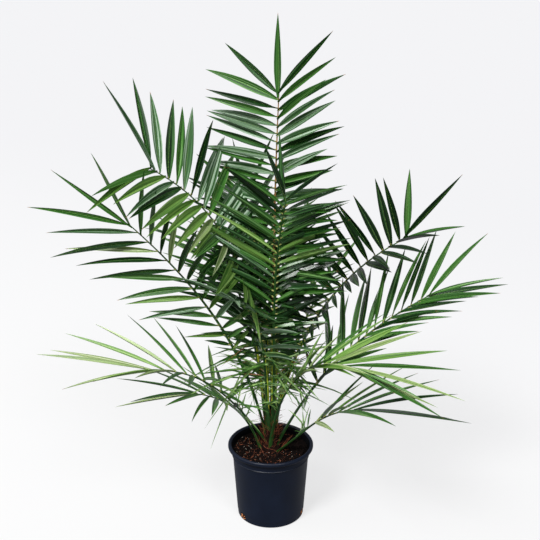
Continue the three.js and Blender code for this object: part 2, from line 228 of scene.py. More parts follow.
materialLooks = {
    "driedTip": dict(shades=((112, 78, 44), (158, 120, 72)), grain=300, rough=(0.6, 0.8)),
    "driedLeaflet": dict(shades=((122, 70, 46), (176, 128, 92)), grain=220, rough=(0.6, 0.8)),
    "leafletMidline": dict(shades=((92, 128, 58), (132, 164, 82)), grain=90),
    "basalLeafletDark": dict(shades=((34, 76, 28), (96, 140, 62)), grain=34, rough=(0.26, 0.4)),
    "basalLeaflet": dict(shades=((74, 118, 50), (152, 186, 110)), grain=34, rough=(0.26, 0.42)),
    "leafletNode": dict(shades=((128, 132, 66), (184, 180, 108)), grain=200, rough=(0.4, 0.55)),
    "frondRib": dict(shades=((20, 52, 20), (52, 92, 38)), grain=26, rough=(0.32, 0.46), bump=0.25,
        depth=0.0005, bumpGrain=420, specular=0.25),
    "driedRib": dict(shades=((112, 70, 42), (168, 132, 82)), grain=22, rough=(0.45, 0.6), bump=0.25,
        depth=0.0005, bumpGrain=420, specular=0.25),
    "petioleEdge": dict(shades=((136, 152, 34), (212, 220, 66)), grain=40, rough=(0.4, 0.55)),
    "stemBark": dict(shades=((9, 5, 5), (42, 23, 17)), grain=90, rough=(0.8, 0.95), specular=0.1, bump=0.8,
        depth=0.002, bumpGrain=340, stretch=(1, 1, 0.3)),
    "stemFibre": dict(shades=((74, 34, 23), (164, 92, 60)), grain=160, rough=(0.7, 0.9)),
    "pottingSoil": dict(shades=((4, 3, 3), (19, 13, 11)), grain=230, rough=(0.85, 1.0), specular=0.08,
        bump=1.0, depth=0.003, bumpGrain=640,
        spots=dict(grain=190, size=0.1, colour=(96, 62, 42))),
    "soilCrumb": dict(shades=((6, 4, 4), (28, 18, 15)), grain=260, rough=(0.85, 1.0), specular=0.08,
        bump=0.8, depth=0.001),
    "barkChip": dict(shades=((58, 32, 22), (132, 82, 56)), grain=300, rough=(0.75, 0.95), bump=0.6,
        depth=0.001),
    "tanBit": dict(shades=((92, 48, 26), (224, 152, 98)), grain=180, rough=(0.75, 0.95), bump=0.6,
        depth=0.001),
    "paleSpeck": dict(shades=((176, 164, 146), (226, 220, 206)), grain=500, rough=(0.8, 0.95)),
    # painted shade: a near-black inner face that stands in for the shadow inside the pot
    "potInsideShade": dict(shades=((3, 4, 6), (8, 9, 12)), grain=40, rough=(0.6, 0.8), specular=0.05),
    "potPlastic": dict(shades=((8, 17, 33), (13, 23, 41)), grain=14, rough=(0.36, 0.48), bump=0.12,
        bumpGrain=900, specular=0.24),
}
materials = {name: makeMaterial(name, **look) for name, look in materialLooks.items()}
print("materials made:", len(materials) + len(leafMaterials))


# Mesh helpers

# A repeatable number from -1 to 1 for a seed and the number of the draw:
# twice the fraction of sin(12.9898 seed + 78.233 draw) 43758.5453, less one
def scatter(seed, draw):
    wave = np.sin(np.asarray(seed, float) * 12.9898 + draw * 78.233) * 43758.5453
    return 2 * (wave - np.floor(wave)) - 1


# Vectors divided by their lengths
def unit(vectors):
    return vectors / np.linalg.norm(vectors, axis=-1, keepdims=True)


# Closed tubes: rings[tube, step, column] joined by quads, with a fan to one point at each end.
# Faces point out where across x up is the tube's direction and the profile runs anticlockwise.
def closeTubes(rings, starts, ends):
    count, steps, columns = rings.shape[:3]
    perTube = steps * columns + 2
    points = np.concatenate([rings.reshape(count, -1, 3), starts[:, None], ends[:, None]], axis=1)
    step, column = np.meshgrid(np.arange(steps), np.arange(columns), indexing="ij")
    here = step * columns + column
    beside = step * columns + (column + 1) % columns
    quads = np.stack([here[:-1], beside[:-1], beside[1:], here[1:]], axis=-1).reshape(-1, 4)
    first = np.stack([np.full(columns, perTube - 2), beside[0], here[0]], axis=-1)
    last = np.stack([np.full(columns, perTube - 1), here[-1], beside[-1]], axis=-1)
    fans = np.concatenate([first, last])
    shift = np.arange(count)[:, None, None] * perTube
    return points.reshape(-1, 3), (quads + shift).reshape(-1, 4), (fans + shift).reshape(-1, 3)


# Points of a cross-section carried along paths: centre + across * sideways + up * rise
def carry(centre, across, up, sideways, rise):
    return (centre[..., None, :] + across[..., None, :] * sideways[..., None]
            + up[..., None, :] * rise[..., None])


# Tubes of a fixed profile, its x times width and its y times depth, each from its path's start to end
def sweepTubes(centre, across, up, width, depth, profile, end):
    rings = carry(centre, across, up, width[..., None] * profile[:, 0], depth[..., None] * profile[:, 1])
    return closeTubes(rings, centre[:, 0], end)


# A closed shell of rings about the upright axis, with the heights of its two middle points
def closeShell(rings, first, last):
    return closeTubes(rings[None], *np.array([[[0, 0, first]], [[0, 0, last]]]))


# Points at radius and height, turned about the upright axis
def turned(radius, height, turn):
    flat = [radius * np.cos(turn), radius * np.sin(turn)]
    return np.stack([*flat, np.broadcast_to(height, flat[0].shape)], axis=-1)


# Evenly spaced angles once round: column times 2 pi over the number of columns
def fullTurn(columns):
    return np.arange(columns) * 2 * np.pi / columns


# A circle of radius 1
def roundProfile(columns=6):
    return turned(1.0, 0.0, fullTurn(columns))[:, :2]


# Round strands along paths[strand, step]: a ring of points square to the path, thin at the end
def strandTubes(paths, radius, columns=5, thin=0.35):
    askew = np.array([0.31, 0.47, 0.83])
    along = unit(np.gradient(paths, axis=1))
    across = unit(np.cross(along, askew))
    up = np.cross(along, across)
    size = radius[:, None] * np.linspace(1, thin, paths.shape[1])[None]
    end = paths[:, -1] + along[:, -1] * size[:, -1:] * 2
    return sweepTubes(paths, across, up, size, size, roundProfile(columns), end)


# Several parts as one: the point numbers of each rise by the points before it
def joinParts(parts):
    shifts = np.cumsum([0] + [len(points) for points, quads, fans in parts])
    shifted = [(points, quads + shift, fans + shift) for (points, quads, fans), shift in zip(parts, shifts)]
    return [np.concatenate(group) for group in zip(*shifted)]


# A piece from points, quads and triangles, and for the pot larger faces too.
# sharp: degrees from which an edge stays sharp.
def makePiece(name, part, material, sharp=30.0, uv=None, extraFaces=()):
    points, quads, fans = part
    mesh = bpy.data.meshes.new(name)
    mesh.vertices.add(len(points))
    mesh.vertices.foreach_set("co", points.astype(np.float32).ravel())
    groups = [quads, fans, *(face[None] for face in extraFaces)]
    sizes = np.concatenate([np.full(len(group), group.shape[1]) for group in groups])
    corners = np.concatenate([group.ravel() for group in groups]).astype(np.int32)
    mesh.loops.add(len(corners))
    mesh.loops.foreach_set("vertex_index", corners)
    mesh.polygons.add(len(sizes))
    mesh.polygons.foreach_set("loop_start", (np.cumsum(sizes) - sizes).astype(np.int32))
    mesh.update(calc_edges=True)
    if uv is not None:
        layer = mesh.uv_layers.new(name="bladeMap")
        layer.data.foreach_set("uv", uv[corners].astype(np.float32).ravel())
    mesh.validate()
    mesh.shade_smooth()
    mesh.set_sharp_from_angle(angle=math.radians(sharp))
    mesh.materials.append(material)
    piece = bpy.data.objects.new(name, mesh)
    scene.collection.objects.link(piece)
    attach(piece, "root")
    return piece


# Fronds, grown by the rule of the solids
# bearing: root and tip, degrees from +X. root: distance from the axis and height. tip: the rib's end.
# lean: degrees from upright. girth: petiole size. roll: turn of the blade about its rib.
# lift: rise of leaflets out of the blade on its two sides. spread: leaflet angle, low and tip.
# sweep: how soon it closes. splay: more angle on the two sides. leaf: length low and at the tip.
# reach: share of that length on the two sides. width: half width of the broadest leaflets.
# droop: sag as a share of length. pairs: leaflet pairs. bare: share of the rib without leaflets.
# last: rise of the end leaflet. tint: mix of greens on the two sides.
frondFields = ("bearing root tip lean girth roll lift spread sweep splay leaf reach width droop pairs bare "
               "last tint").split()
frondSettings = {
    "frond_back_tall": ((82, 79), (18, 330), (126, 1347), (8, 14), 0.58, 27, (0, 9), (80, 46), 0.25, (12, -4),
        (300, 262), (1.05, 1), 10, 0.06, 34, 0.24, 4, ("upper", "upper")),
    "frond_left_high": ((164, 180), (18, 325), (350, 1152), (6, 62), 0.58, 22, (13, 10), (80, 56), 0.5,
        (6, 8), (225, 340), (0.91, 1.05), 11.5, 0.1, 24, 0.29, 40, ("sunny", "shiny")),
    "frond_front_upright": ((300, 293), (15, 330), (113, 1090), (2, 24), 0.58, 0, (-15, 18), (62, 32), 0.14,
        (5, -3), (300, 222), (0.88, 1.03), 10, 0.05, 25, 0.26, 38, ("mixed", "mixed")),
    "frond_left_middle": ((192, 176), (18, 300), (421, 970), (13, 47), 0.75, 96, (18, 24), (62, 31), 0.26,
        (-8, 8), (190, 318), (0.93, 0.95), 10, 0.12, 15, 0.28, 8, ("fresh", "fresh")),
    "frond_right_high": ((4, 20), (16, 322), (448, 884), (10, 71), 0.65, -28, (47, 48), (92, 53), 0.35,
        (10, 14), (222, 290), (0.78, 0.92), 11, 0.05, 19, 0.27, 38, ("deep", "deep")),
    "frond_right_middle": ((350, 359), (26, 262), (478, 759), (25, 59), 0.9, -34, (18, 16), (48, 28), 0.27,
        (-2, -15), (260, 280), (0.95, 0.89), 9.8, 0.08, 15, 0.29, -30, ("dusk", "dusk")),
    "frond_left_low": ((200, 198), (20, 268), (375, 560), (33, 85), 0.9, 3, (19, 12), (104, 14), 0.8, (5, 3),
        (202, 340), (0.86, 1.02), 9, 0.08, 9, 0.34, 17, ("low", "low")),
    "frond_front_right": ((280, 322), (20, 262), (292, 600), (5, 94), 0.85, -18, (22, 12), (48, 2), 0.6,
        (1, -4), (248, 420), (0.81, 0.7), 8.8, 0.07, 13, 0.36, 9, ("pale", "pale")),
    "frond_right_lowest": ((330, 325), (33, 235), (308, 462), (45, 70), 1.05, -6, (15, 16), (42, 15), 0.5,
        (1, 5), (264, 400), (0.81, 1.09), 8.6, 0.07, 6, 0.44, -8, ("low", "low")),
    "frond_left_lowest": ((175, 194), (33, 235), (235, 453), (18, 75), 1.1, -5, (5, -2), (68, 18), 0.25,
        (2, 2), (228, 266), (1, 1.04), 8.6, 0.08, 7, 0.46, -16, ("low", "low")),
    "frond_back_left": ((123, 116), (18, 328), (170, 1010), (1, 34), 0.58, 20, (16, 16), (66, 36), 0.3,
        (0, 0), (250, 225), (1, 1), 9.5, 0.05, 15, 0.3, 0, ("upper", "upper")),
    "frond_back_right": ((42, 60), (18, 326), (150, 880), (1, 38), 0.58, -10, (14, 14), (68, 38), 0.3, (0, 0),
        (235, 205), (1, 1), 9.5, 0.05, 14, 0.3, 0, ("upper", "upper")),
    "frond_front_left": ((240, 236), (17, 320), (185, 800), (4, 60), 0.62, 10, (4, 4), (62, 34), 0.4, (0, 0),
        (240, 215), (1, 1), 9.5, 0.12, 12, 0.32, 0, ("shiny", "shiny")),
    "frond_back_low_left": ((112, 118), (20, 288), (390, 780), (16, 72), 0.8, 0, (16, 16), (66, 34), 0.4,
        (0, 0), (270, 260), (1, 1), 9.5, 0.08, 14, 0.3, 0, ("upper", "upper")),
    "frond_back_low_right": ((68, 60), (24, 270), (400, 680), (22, 72), 0.9, 0, (16, 16), (64, 32), 0.4,
        (0, 0), (270, 260), (1, 1), 9.5, 0.08, 13, 0.32, 0, ("low", "low")),
}
fronds = [{"name": name, **dict(zip(frondFields, row))} for name, row in frondSettings.items()]

ribSettings = {
    "width": (9.5, 5, 1.7),  # half width at the root, where leaflets start and at the tip
    "depth": (7, 4.5, 1.7),
    "steps": 64,
    "gather": 1.15,  # above 1 the steps lie closer at the root
    "columns": 14,
    "handle": 0.38,  # of the straight length, along both leans
    "rollBeyond": 0.15,  # share past the bare part at which the roll is full
    "point": 3,  # length of the end
    "belly": 0.75,  # height of the upper face against the lower one
    "channel": 0.5,  # how far the upper face is hollowed
    "tan": ("frond_back_tall",),  # fronds whose rib is brown
    "foot": 0.224,  # height to which a petiole runs down beside the stem
    "longest": 0.06,  # the most that it runs down
    "footSteps": 4,
    "sheath": 0.9,  # extra width where a petiole clasps the stem
    "sheathHeight": 0.05,  # metres in which it is gone
}

seedStride = 97  # room for one frond's random draws
dressShift = 0.37  # keeps the draws for bow, twist and fold apart

leafletSettings = {
    "root": 0.34,  # width at the rib against the widest place
    "widest": 0.36,
    "taper": 1.75,  # power of the fall to the tip
    "stagger": 0.15,  # how far a pair's two leaflets stand apart, of the gap between pairs
    "lastPlace": 0.995,  # share of the rib
    "start": (0.25, 0.28),  # length at the first pair, and share by which it reaches the full one
    "varies": (5, 7, 0.07),  # degrees of spread, degrees of lift, share of the length
    "shortWidth": (0.45, 0.42),  # narrowest, and metres by which the width grows to the full one
    "end": {"place": 0.985, "length": 0.96, "droop": 0.5},  # the leaflet at the rib's end
    # points round a blade: across, arch, and 1 for the point below
    "profile": ((1, 0, 0), (0.5, 0.06, 0), (0, 0, 0), (-0.5, 0.06, 0), (-1, 0, 0), (0, 0, 1)),
    "rootFold": (1.4, 0.06, 1.25),  # more fold at the rib, share in which it fades, most in radians
    "fullThickness": 3.0,  # half width from which a blade is as thick as the rest
    "pattern": (3.7, 0.3),  # pattern shift from one leaflet to the next, metres of blade to one pattern
    "broad": 1.14,  # half width against the solids
    "broader": {"frond_back_tall": 1.28, "frond_left_high": 1.28, "frond_right_high": 1.12},
    # where the crown is open: up to which share of the rib, and the part of the length kept a side
    "shorter": {"frond_back_low_right": (1, 0.7, 0.4), "frond_back_right": (1, 0.75, 0.5),
                "frond_right_high": (0.62, 1, 0.45), "frond_front_upright": (0.36, 0.72, 0.85),
                "frond_front_right": (0.5, 0.62, 1), "frond_back_tall": (0.2, 0.6, 0.6),
                "frond_back_left": (0.35, 0.65, 0.65), "frond_left_middle": (0.24, 0.7, 0.8),
                "frond_back_low_left": (0.4, 0.65, 0.7)},
    "tangle": (3.4, 0.5),  # how much more the aims vary at the foot of a rib, and up to which share
    "fold": 34,  # degrees each half rises from the fold
    "foldVaries": 0.5,
    "clear": (0.139, 0.252),  # distance from the axis and height within which they are shortened
    "clearSteps": (0.72, 0.6, 0.5, 0),  # how much shorter in turn; 0 leaves them out
    "shares": (0, 0.02, 0.06, 0.12, 0.2, 0.3, 0.41, 0.52, 0.63, 0.74, 0.84, 0.92, 0.975),
    "thickness": 0.7,
    "bow": 0.035,
    "twist": 22,
    "tipLength": 0.035,
    "tipShare": 0.4,  # leaflets with a dried tip
    "tipGrow": 0.12,
    "tipTo": 0.995,
}

tintMix = {  # share of deep, dark, green, bright, pale and blue leaflets
    "sunny": (0, 0.14, 0.28, 0.4, 0.1, 0.08),
    "fresh": (0, 0.22, 0.38, 0.26, 0.02, 0.12),
    "upper": (0, 0.38, 0.4, 0, 0, 0.22),
    "mixed": (0.28, 0.3, 0.3, 0.04, 0, 0.08),
    "deep": (0.56, 0.38, 0.06, 0, 0, 0),
    "dusk": (0.22, 0.4, 0.3, 0.04, 0, 0.04),
    "shiny": (0.16, 0.26, 0.14, 0, 0, 0.44),
    "low": (0.04, 0.18, 0.4, 0.16, 0.22, 0),
    "pale": (0, 0.06, 0.26, 0.26, 0.42, 0),
}


# The rib is a cubic curve from root to tip, with handles along the two leans.
# Upper face = direction x level, side = face x direction, both turned by the roll as it eases in.
def ribFrames(frond, shares):
    turn, lean = np.radians(frond["bearing"]), np.radians(frond["lean"])
    reach, height = np.transpose([frond["root"], frond["tip"]])
    a, d = turned(reach, height, turn) * mm
    pull = turned(np.sin(lean), np.cos(lean), turn) * ribSettings["handle"] * np.linalg.norm(d - a)
    b, c = a + pull[0], d - pull[1]
    t = np.asarray(shares, float)[:, None]
    centre = (1 - t) ** 3 * a + 3 * (1 - t) ** 2 * t * b + 3 * (1 - t) * t ** 2 * c + t ** 3 * d
    along = unit((1 - t) ** 2 * (b - a) + 2 * (1 - t) * t * (c - b) + t ** 2 * (d - c))
    level = np.array([-math.sin(turn[1]), math.cos(turn[1]), 0.0])
    face = unit(np.cross(along, level))
    side = unit(np.cross(face, along))
    ease = np.clip(t / (frond["bare"] + ribSettings["rollBeyond"]), 0, 1)
    roll = math.radians(frond["roll"]) * ease ** 2 * (3 - 2 * ease)
    return (centre, along, face * np.cos(roll) + side * np.sin(roll),
            side * np.cos(roll) - face * np.sin(roll))


# Half size of the rib: a square-root taper to where leaflets start, then straight to the tip
def ribSize(sizes, frond, shares):
    largest, atLeaflets, atTip = sizes
    bare = frond["bare"]
    low = frond["girth"] * largest
    below = low + (atLeaflets - low) * np.sqrt(np.clip(shares / bare, 0, 1))
    above = atLeaflets + (atTip - atLeaflets) * np.clip((shares - bare) / (1 - bare), 0, 1)
    return np.where(shares < bare, below, above) * mm


# Number, side and seed of both leaflets of each pair
def pairUp(pairs, seedStart):
    pair = np.repeat(np.arange(pairs), 2)
    hand = np.tile([1.0, -1.0], pairs)
    return pair, hand, seedStart + pair * 2 + (hand < 0)


# Base, aim and width axis of leaflets at place. Aim: the rib's direction turned by spread toward
# a side raised by lift, both in degrees. Width axis: square to the aim.
def aimLeaflets(frond, place, hand, spread, lift):
    centre, along, face, side = ribFrames(frond, place)
    spread, lift, hand = np.radians(spread)[:, None], np.radians(lift)[:, None], hand[:, None]
    aim = along * np.cos(spread) + (side * (hand * np.cos(lift)) + face * np.sin(lift)) * np.sin(spread)
    return centre, aim, unit(along - aim * (aim * along).sum(-1, keepdims=True)) * -hand


# Leaflets of a frond. Spread: tip + (low - tip) (1 - share) ^ sweep. Length: straight from low to tip,
# cut short over the first pairs. Each varies a little, and spread and lift the most at the foot.
def growLeaflets(frond, order):
    settings = leafletSettings
    bare, pairs, name = frond["bare"], frond["pairs"], frond["name"]
    pair, hand, seed = pairUp(pairs, order * seedStride)
    share = (pair + 1) / pairs
    place = bare + (1 - bare) * np.clip(share + settings["stagger"] * hand / pairs, 0, settings["lastPlace"])
    low, tip = frond["spread"]
    splay, lift, reach = (np.where(hand > 0, *frond[key]) for key in ("splay", "lift", "reach"))
    more, until = settings["tangle"]
    tangle = 1 + more * np.clip(1 - share / until, 0, 1)
    spreadVaries, liftVaries, lengthVaries = settings["varies"]
    spread = tip + (low - tip) * (1 - share) ** frond["sweep"] + splay
    spread = spread + spreadVaries * tangle * scatter(seed, 1)
    lift = lift + liftVaries * tangle * scatter(seed, 2)
    centre, aim, across = aimLeaflets(frond, place, hand, spread, lift)
    first, fullBy = settings["start"]
    low, high = frond["leaf"]
    length = (low + (high - low) * share) * reach * np.minimum(1, first + share / fullBy)
    length = length * (1 + lengthVaries * scatter(seed, 3)) * mm
    until, *kept = settings["shorter"].get(name, (0, 1, 1))
    length = length * np.where(share <= until, np.where(hand > 0, *kept), 1)
    end = settings["end"]
    endCentre, endAlong, endFace, endSide = ribFrames(frond, [end["place"]])
    last = math.radians(frond["last"])
    length = np.append(length, high * end["length"] * mm)
    droop = np.append(np.full(len(pair), frond["droop"]), end["droop"] * frond["droop"])
    broad = settings["broad"] * settings["broader"].get(name, 1)
    narrowest, wideBy = settings["shortWidth"]
    return {
        "base": np.concatenate([centre, endCentre]),
        "aim": np.concatenate([aim, endAlong * math.cos(last) + endFace * math.sin(last)]),
        "across": np.concatenate([across, endSide]),
        "length": length,
        "sag": droop * length,
        "halfWidth": frond["width"] * broad * mm * np.minimum(1, narrowest + length / wideBy),
        "seed": np.append(seed, (order + 1) * seedStride - 1),
        "share": np.append(share, 1.0),
        "part": np.append(hand < 0, False).astype(int),
        "rib": ribSize(ribSettings["width"], frond, np.append(place, end["place"])),
        "frond": np.full(len(seed) + 1, order),
    }


# The chosen leaflets
def pick(leaves, chosen):
    return {key: value[chosen] for key, value in leaves.items()}


# Groups of leaflets as one
def together(groups):
    return {key: np.concatenate([group[key] for group in groups]) for key in groups[0]}


# Midline at share u: base + aim length u + across bow length u^2 - upward sag u^2, with its width axis
# and upper axis, both turned about it by twist u
def bladeFrames(leaves, shares):
    u = np.asarray(shares, float)[None, :, None]
    length, sag, bow, twist = (leaves[key][:, None, None] for key in ("length", "sag", "bow", "twist"))
    base, aim, across = (leaves[key][:, None, :] for key in ("base", "aim", "across"))
    centre = base + aim * length * u + across * bow * length * u ** 2 - upward * sag * u ** 2
    along = unit(aim * length + across * bow * length * 2 * u - upward * sag * 2 * u)
    flat = unit(across - along * (along * across).sum(-1, keepdims=True))
    rise = np.cross(along, flat)
    turn = twist * u
    return centre, flat * np.cos(turn) + rise * np.sin(turn), rise * np.cos(turn) - flat * np.sin(turn)


# Share of the full half width: a quarter sine up to the widest place, then 1 - v^taper down
def outlineAt(u):
    root, widest = leafletSettings["root"], leafletSettings["widest"]
    rise = root + (1 - root) * np.sin(np.pi / 2 * np.minimum(u / widest, 1))
    fall = 1 - np.clip((u - widest) / (1 - widest), 0, 1) ** leafletSettings["taper"]
    return np.where(u < widest, rise, fall)


# A blade folded along its midline, and its map: each half rises at the fold angle, steeper at the rib
def bladeParts(leaves, shares, grow=0.0):
    settings = leafletSettings
    shares = np.asarray(shares, float)
    centre, across, up = bladeFrames(leaves, shares)
    half = leaves["halfWidth"][:, None] * outlineAt(shares)[None] + grow
    more, fades, most = settings["rootFold"]
    fold = np.minimum(leaves["fold"][:, None] * (1 + more * np.exp(-shares / fades))[None], most)
    x, arch, below = np.array(settings["profile"], float).T
    thick = settings["thickness"] * mm * np.minimum(1, half / (settings["fullThickness"] * mm))
    sideways = half[..., None] * x * np.cos(fold)[..., None]
    rise = half[..., None] * (np.abs(x) * np.sin(fold)[..., None] + arch)
    rise = rise + grow * (1 - 2 * below) - thick[..., None] * below
    rings = carry(centre, across, up, sideways, rise)
    end = bladeFrames(leaves, [1.0])[0][:, 0]
    shift, span = settings["pattern"]
    shift = leaves["seed"][:, None, None] * shift
    alongMap = shares[None, :, None] * leaves["length"][:, None, None] / span
    uv = np.stack(np.broadcast_arrays((x + 1) / 2 + shift, alongMap), axis=-1)
    ends = np.zeros((len(end), 2, 2))
    ends[..., 0] = 0.5 + shift[..., 0]
    uv = np.concatenate([uv.reshape(len(end), -1, 2), ends], axis=1)
    return closeTubes(rings, centre[:, 0], end), uv.reshape(-1, 2)


# A leaflet that would dip to the pot is shortened, or left out
def clearOfPot(leaves, reach, height):
    for scale in leafletSettings["clearSteps"]:
        centre = bladeFrames(leaves, np.linspace(0.1, 1, 12))[0]
        dips = ((np.hypot(centre[..., 0], centre[..., 1]) < reach) & (centre[..., 2] < height)).any(axis=1)
        if scale:
            for key in ("length", "sag"):
                leaves[key] = leaves[key] * np.where(dips, scale, 1)
    return pick(leaves, ~dips)


# Bow, twist and fold drawn for each leaflet
def dressLeaves(leaves, bow, clear):
    seed = leaves["seed"] + leaves["frond"] * dressShift
    leaves["bow"] = bow * scatter(seed, 4)
    leaves["twist"] = np.radians(leafletSettings["twist"]) * scatter(seed, 5)
    varies = 1 + leafletSettings["foldVaries"] * scatter(seed, 6)
    leaves["fold"] = np.radians(leafletSettings["fold"] * varies)
    return clearOfPot(leaves, *clear)


leaves = together([growLeaflets(frond, order) for order, frond in enumerate(fronds)])
leaves = dressLeaves(leaves, leafletSettings["bow"], leafletSettings["clear"])
mix = np.array([[tintMix[tint] for tint in frond["tint"]] for frond in fronds]).cumsum(axis=-1)
luck = 0.5 + 0.5 * scatter(leaves["seed"] // 2, 8)
kind = (luck[:, None] > mix[leaves["frond"], leaves["part"]]).sum(axis=1).clip(0, len(leafTones) - 1)
for number, name in enumerate(leafTones):
    part, uv = bladeParts(pick(leaves, kind == number), leafletSettings["shares"])
    makePiece(name, part, leafMaterials[name], sharp=24, uv=uv)
print("leaflets grown:", len(leaves["seed"]))

tipped = pick(leaves, scatter(leaves["seed"], 9) < 2 * leafletSettings["tipShare"] - 1)
tipShares = np.linspace(1 - leafletSettings["tipLength"], leafletSettings["tipTo"], 3)
part = bladeParts(tipped, tipShares, grow=leafletSettings["tipGrow"] * mm)[0]
makePiece("leafletTips", part, materials["driedTip"], sharp=24)

# The pale midline: a low ridge in the fold
keelSettings = {
    "shares": (0.01, 0.08, 0.18, 0.3, 0.42, 0.54, 0.66, 0.78, 0.88),
    "end": 0.94,
    "profile": ((1, -0.4), (0, 1), (-1, -0.4)),
    "width": 0.8,
    "narrows": 0.75,  # share of the width lost by the tip
    "fullLength": 0.15,  # metres of leaflet from which the width is full
    "rise": 0.8,  # height against the width
}
keelShares = np.array(keelSettings["shares"])
centre, across, up = bladeFrames(leaves, keelShares)
width = (keelSettings["width"] * mm * (1 - keelSettings["narrows"] * keelShares))[None]
width = width * np.minimum(1, leaves["length"][:, None] / keelSettings["fullLength"])
ridge, end = np.array(keelSettings["profile"]), bladeFrames(leaves, [keelSettings["end"]])[0][:, 0]
part = sweepTubes(centre, across, up, width, width * keelSettings["rise"], ridge, end)
makePiece("leafletMidlines", part, materials["leafletMidline"], sharp=60)

# Pale swellings where leaflets leave the rib
nodeSettings = {
    "reach": (0.5, 0.95, 1.5),  # of the rib's half width, at the three rings
    "steps": (0, 0.4, 1),  # and of the length
    "length": 5.0,
    "size": (2.5, 2.9, 1.6),
    "least": 0.5,  # of that size, on the thinnest ribs
    "fullRib": 8,
    "flat": 0.8,
    "point": 2,
}
paired = pick(leaves, leaves["share"] < 1)
aim, rib = paired["aim"][:, None], paired["rib"][:, None]
nodeReach = np.array(nodeSettings["steps"]) * nodeSettings["length"] * mm
nodeReach = rib * np.array(nodeSettings["reach"]) + nodeReach
centre = paired["base"][:, None] + aim * nodeReach[..., None]
across = np.broadcast_to(paired["across"][:, None], centre.shape)
up = np.cross(np.broadcast_to(aim, centre.shape), across)
swell = np.minimum(1, nodeSettings["least"] + rib / (nodeSettings["fullRib"] * mm))
swell = swell * np.array(nodeSettings["size"]) * mm
end = centre[:, -1] + aim[:, 0] * nodeSettings["point"] * mm
part = sweepTubes(centre, across, up, swell, swell * nodeSettings["flat"], roundProfile(), end)
makePiece("leafletNodes", part, materials["leafletNode"], sharp=80)
print("midlines, tips and nodes added")


# Ribs and petioles

# Cross-section: a circle, whose upper half has the height belly sin a - channel sin^2 a
def ribProfile(settings):
    turn = (np.arange(settings["columns"]) + 0.5) * 2 * np.pi / settings["columns"]
    high = np.sin(turn)
    upper = settings["belly"] * high - settings["channel"] * high ** 2
    return np.stack([np.cos(turn), np.where(high > 0, upper, high)], axis=-1)


# Frames and half sizes of several ribs at once, at shares[rib, step]
def stackRibs(chosen, shares):
    frames = [ribFrames(frond, row) for frond, row in zip(chosen, shares)]
    sizes = [[ribSize(ribSettings[key], frond, row) for key in ("width", "depth")]
             for frond, row in zip(chosen, shares)]
    return [np.stack(rows) for table in (frames, sizes) for rows in zip(*table)]


# One piece of ribs for the named fronds
def makeRibs(name, chosen, material):
    settings = ribSettings
    extra = settings["footSteps"]
    shares = np.concatenate([np.zeros(extra), np.linspace(0, 1, settings["steps"]) ** settings["gather"]])
    centre, along, face, side, width, depth = stackRibs(chosen, [shares] * len(chosen))
    sunk = np.minimum((centre[:, 0, 2] - settings["foot"]) / along[:, 0, 2], settings["longest"])
    down = np.linspace(1, 1 / extra, extra)[:, None]
    centre[:, :extra] -= along[:, :extra] * sunk[:, None, None] * down
    climbed = np.linalg.norm(centre - centre[:, extra:extra + 1], axis=-1)
    width = width * (1 + settings["sheath"] * np.exp(-(climbed / settings["sheathHeight"]) ** 2))
    end = centre[:, -1] + along[:, -1] * settings["point"] * mm
    part = sweepTubes(centre, side, face, width, depth, ribProfile(settings), end)
    piece = makePiece(name, part, material, sharp=50)
    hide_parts(*[frond["name"] for frond in chosen])


isTan = [frond["name"] in ribSettings["tan"] for frond in fronds]
makeRibs("frondRibs", [frond for frond, tan in zip(fronds, isTan) if not tan], materials["frondRib"])
makeRibs("tanRibs", [frond for frond, tan in zip(fronds, isTan) if tan], materials["driedRib"])

# Yellow edges of the thin upright petioles, one down each side to the lowest leaflets
edgeSettings = {
    "steps": 40,
    "from": 0.08,  # share of the rib
    "beyond": 0.1,  # share past the bare part
    "size": 3.2,
    "fade": 0.5,  # size at the end against the start
    "flat": 0.5,
    "place": (0.9, 0.1),  # of the rib's half width: to the side and up
    "girth": 0.7,  # only petioles thinner than this
}
edged = [frond for frond in fronds if frond["girth"] < edgeSettings["girth"]]
edgeShares = [np.linspace(edgeSettings["from"], frond["bare"] + edgeSettings["beyond"], edgeSettings["steps"])
              for frond in edged]
centre, along, face, side, width = stackRibs(edged, edgeShares)[:5]
outward, upwards = (place * width for place in edgeSettings["place"])
fade = np.linspace(1, edgeSettings["fade"], edgeSettings["steps"])[None] * edgeSettings["size"] * mm
fade = fade * np.ones_like(width)
edgeParts = []
for hand in (1, -1):
    line = centre + side * (hand * outward)[..., None] + face * upwards[..., None]
    end = line[:, -1] + along[:, -1] * ribSettings["point"] * mm
    edgeParts.append(sweepTubes(line, side, face, fade * edgeSettings["flat"], fade, roundProfile(), end))
makePiece("petioleEdges", joinParts(edgeParts), materials["petioleEdge"], sharp=80)

# Short narrow leaflets low on each petiole, thinning to spines toward the root
basalSettings = {
    "stout": (0.65, 0.9),  # girth of thin and of stout petioles
    "from": (0.34, 0.62),  # share of the bare length where they begin, on thin and on stout petioles
    "stoutLift": 24,  # degrees more rise on stout petioles
    "stoutShort": 0.45,  # share of the length lost there
    "clear": (0.17, 0.3),  # distance from the axis and height within which they are shortened
    "gap": 0.0145,  # metres between pairs
    "fewest": 3,
    "seedStart": 5000,
    "length": (0.09, 0.27),
    "grows": 1.4,  # power by which the length grows up the petiole
    "halfWidth": (2.0, 5.2),
    "spread": (46, 92),
    "lift": 16,
    "varies": (0.3, 24, 36, 0.3),  # share of a gap, degrees of spread and of lift, share of the length
    "sag": 0.16,
    "bow": 0.14,
    "driedAbove": 0.86,  # of draws from -1 to 1
    "darkAbove": 0.3,
    "driedWidth": 0.4,  # dried ones against the green ones
    "shares": (0, 0.05, 0.15, 0.3, 0.5, 0.7, 0.88),
}


